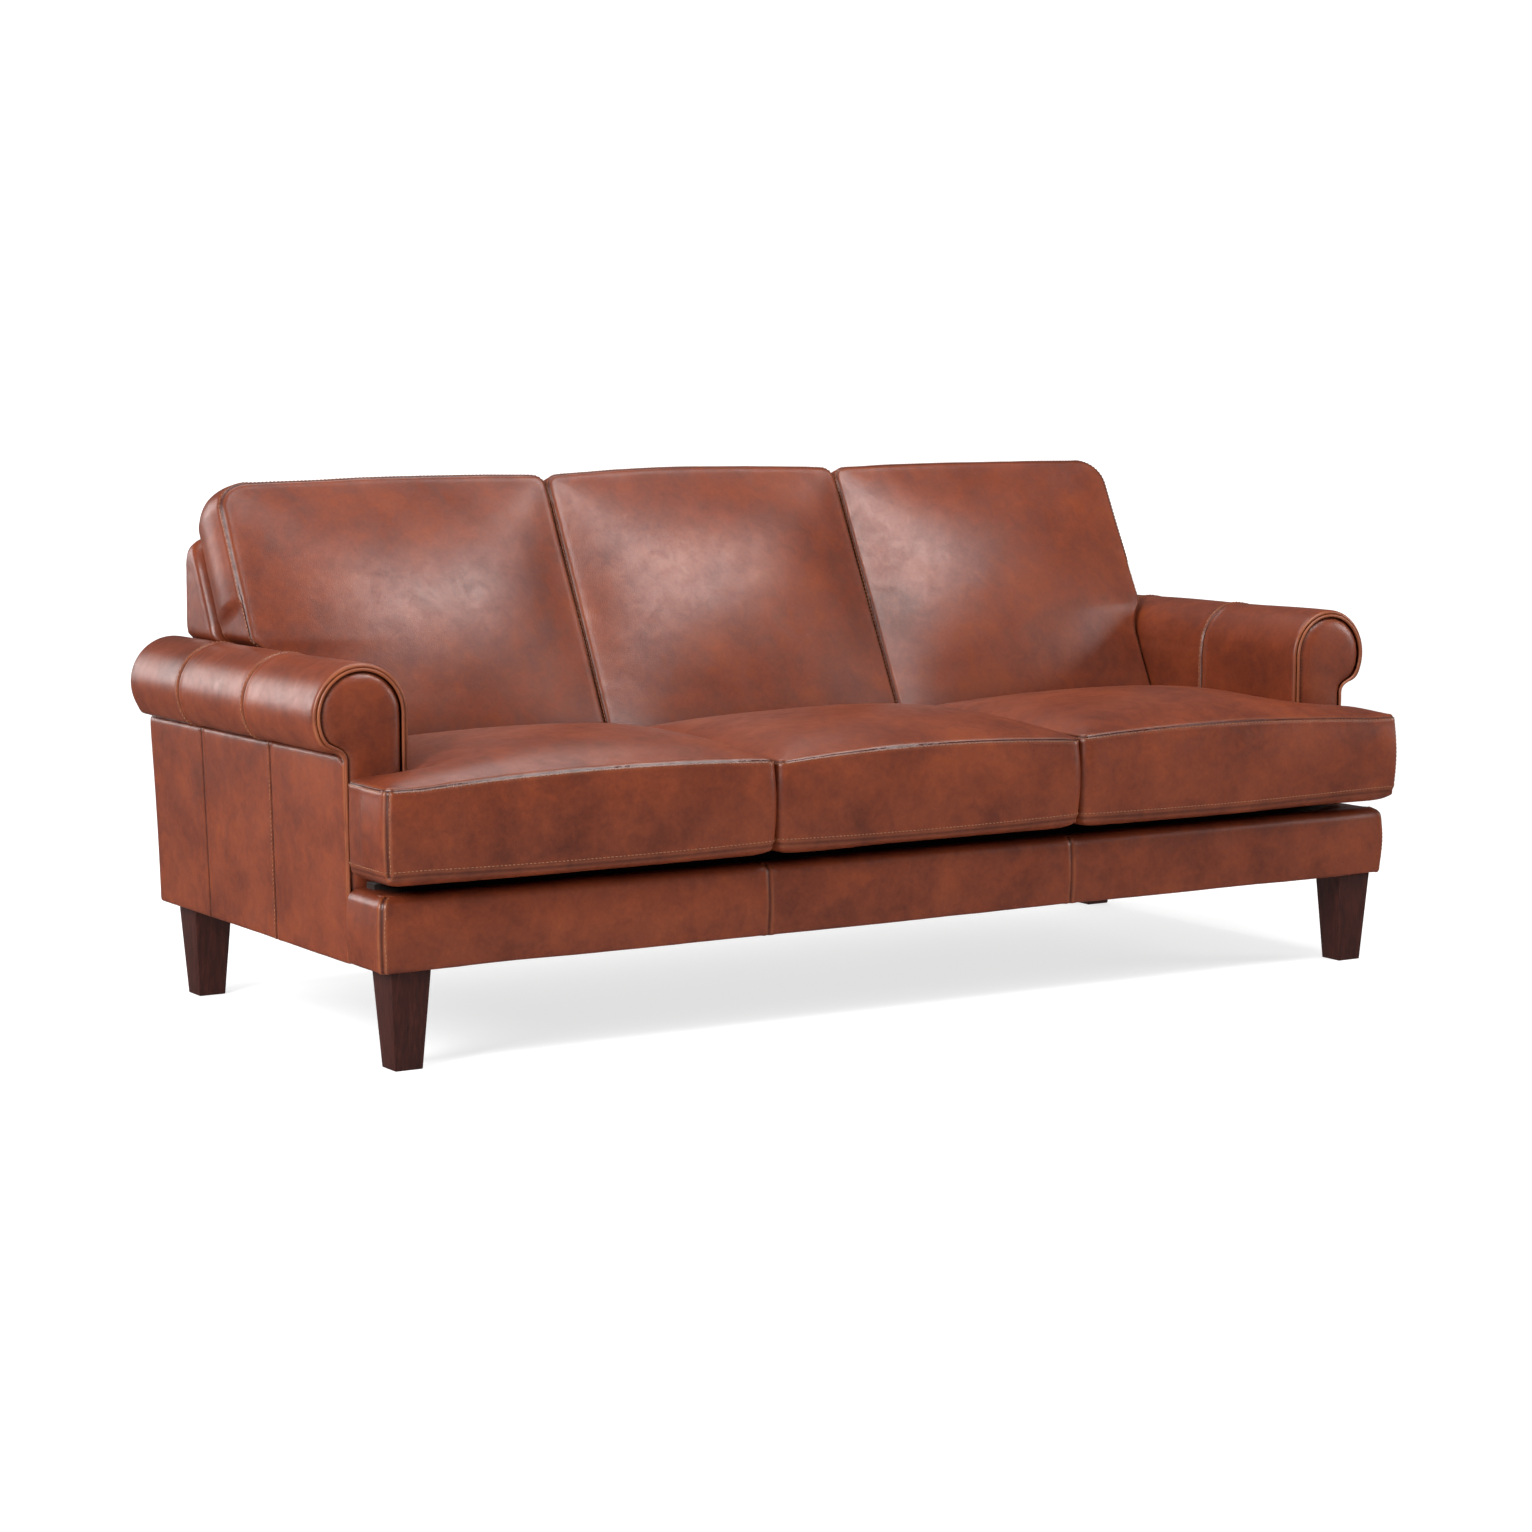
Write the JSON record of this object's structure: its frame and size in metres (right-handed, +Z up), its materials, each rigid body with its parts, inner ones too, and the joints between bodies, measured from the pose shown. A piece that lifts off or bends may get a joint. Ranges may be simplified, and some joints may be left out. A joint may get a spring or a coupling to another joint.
{
  "type": "three-seat sofa",
  "caption": "Rolled-arm leather sofa with T-shaped loose seat cushions, raked loose back cushions and tapered square wooden legs.",
  "frame": {"origin": "on the floor, at the bottom centre of the whole sofa's bounding box", "axes": "+X along the sofa towards the sitter's left-hand arm, -Y towards the front where a sitter's legs hang, +Z up"},
  "size_m": [2.258, 0.975, 0.9414],
  "materials": {
    "leather": "semi-gloss",
    "stained_wood": "satin",
    "frame_wood": "raw",
    "plywood": "raw",
    "steel": "zinc plated",
    "deck_cloth": "matte",
    "black_cloth": "matte",
    "foam": "matte"
  },
  "bodies": {
    "sofa_frame": {"leg_front_left": "stained_wood", "leg_bolt_front_left": "steel", "corner_block_front_left": "frame_wood", "leg_front_right": "stained_wood", "leg_bolt_front_right": "steel", "corner_block_front_right": "frame_wood", "leg_rear_left": "stained_wood", "leg_bolt_rear_left": "steel", "corner_block_rear_left": "frame_wood", "leg_rear_right": "stained_wood", "leg_bolt_rear_right": "steel", "corner_block_rear_right": "frame_wood", "front_rail": "frame_wood", "rear_rail": "frame_wood", "side_rail_left": "frame_wood", "side_rail_right": "frame_wood", "seat_stretcher_left": "frame_wood", "seat_stretcher_right": "frame_wood", "arm_top_rail_left": "frame_wood", "arm_top_rail_right": "frame_wood", "back_lower_rail": "frame_wood", "back_top_rail": "frame_wood", "arm_panel_left": "plywood", "arm_panel_right": "plywood", "back_rib_1": "plywood", "back_rib_2": "plywood", "back_rib_3": "plywood", "back_rib_4": "plywood", "sinuous_spring_1": "steel", "sinuous_spring_2": "steel", "sinuous_spring_3": "steel", "sinuous_spring_4": "steel", "sinuous_spring_5": "steel", "sinuous_spring_6": "steel", "deck_cloth": "deck_cloth", "deck_pad": "deck_cloth", "dust_cover": "black_cloth", "rail_cover_front": "leather", "rail_cover_return_left": "leather", "rail_cover_return_right": "leather", "arm_cover_left": "leather", "arm_cover_right": "leather", "arm_facing_left": "leather", "arm_facing_right": "leather", "facing_welt_left": "leather", "facing_welt_right": "leather", "outer_back_cover": "leather", "inner_back_cover": "leather"},
    "seat_cushion_left": {"seat_cushion_cover_left": "leather", "seat_cushion_core_left": "foam"},
    "seat_cushion_middle": {"seat_cushion_cover_middle": "leather", "seat_cushion_core_middle": "foam"},
    "seat_cushion_right": {"seat_cushion_cover_right": "leather", "seat_cushion_core_right": "foam"},
    "back_cushion_left": {"back_cushion_cover_left": "leather", "back_cushion_core_left": "foam"},
    "back_cushion_middle": {"back_cushion_cover_middle": "leather", "back_cushion_core_middle": "foam"},
    "back_cushion_right": {"back_cushion_cover_right": "leather", "back_cushion_core_right": "foam"}
  },
  "joints": [
    {"name": "seat_left_lift", "type": "slide", "parent": "sofa_frame", "child": "seat_cushion_left", "axis": [0, 0, 1], "range_m": [0, 0.4]},
    {"name": "seat_middle_lift", "type": "slide", "parent": "sofa_frame", "child": "seat_cushion_middle", "axis": [0, 0, 1], "range_m": [0, 0.4]},
    {"name": "seat_right_lift", "type": "slide", "parent": "sofa_frame", "child": "seat_cushion_right", "axis": [0, 0, 1], "range_m": [0, 0.4]},
    {"name": "back_left_lift", "type": "slide", "parent": "sofa_frame", "child": "back_cushion_left", "axis": [0, 0.4593, 0.8883], "range_m": [0, 0.45]},
    {"name": "back_middle_lift", "type": "slide", "parent": "sofa_frame", "child": "back_cushion_middle", "axis": [0, 0.4593, 0.8883], "range_m": [0, 0.45]},
    {"name": "back_right_lift", "type": "slide", "parent": "sofa_frame", "child": "back_cushion_right", "axis": [0, 0.4593, 0.8883], "range_m": [0, 0.45]}
  ]
}
